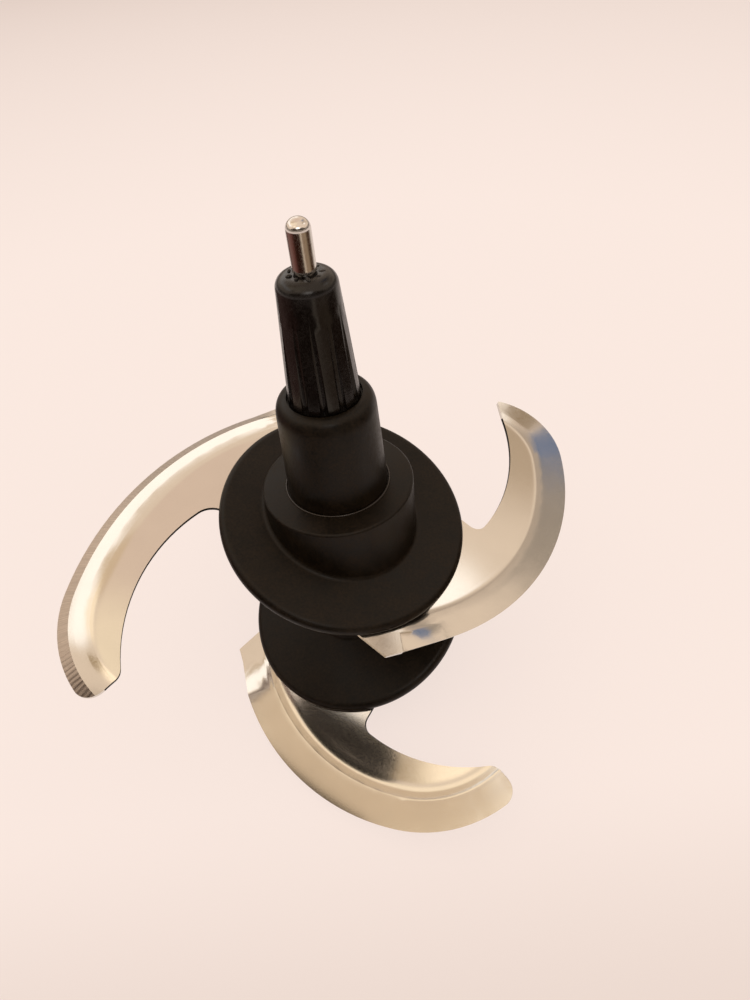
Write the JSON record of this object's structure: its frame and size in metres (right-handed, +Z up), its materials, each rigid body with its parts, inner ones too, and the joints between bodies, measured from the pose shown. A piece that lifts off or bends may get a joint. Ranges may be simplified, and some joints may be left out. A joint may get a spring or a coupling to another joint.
{
  "type": "chopping blade assembly",
  "caption": "Chopping blade assembly of a compact food chopper: slanted sickle blades on a black hub with a splined drive spindle and a domed steel pin.",
  "frame": {"origin": "centre of the foot of the hub, at the mouth of the pivot bore", "axes": "+Z up the spindle towards the steel pin, -Y towards the front of the picture"},
  "size_m": [0.11, 0.1087, 0.1133],
  "materials": {
    "pin_steel": "polished",
    "spindle_plastic": "gloss",
    "hub_plastic": "satin",
    "blade_steel": "satin"
  },
  "bodies": {
    "root": {"drive_pin": "pin_steel", "drive_spindle": "spindle_plastic", "collar_sleeve": "hub_plastic", "upper_hub": "hub_plastic", "upper_blade": "blade_steel", "middle_hub": "hub_plastic", "lower_blade": "blade_steel", "lower_hub": "hub_plastic"}
  },
  "joints": []
}
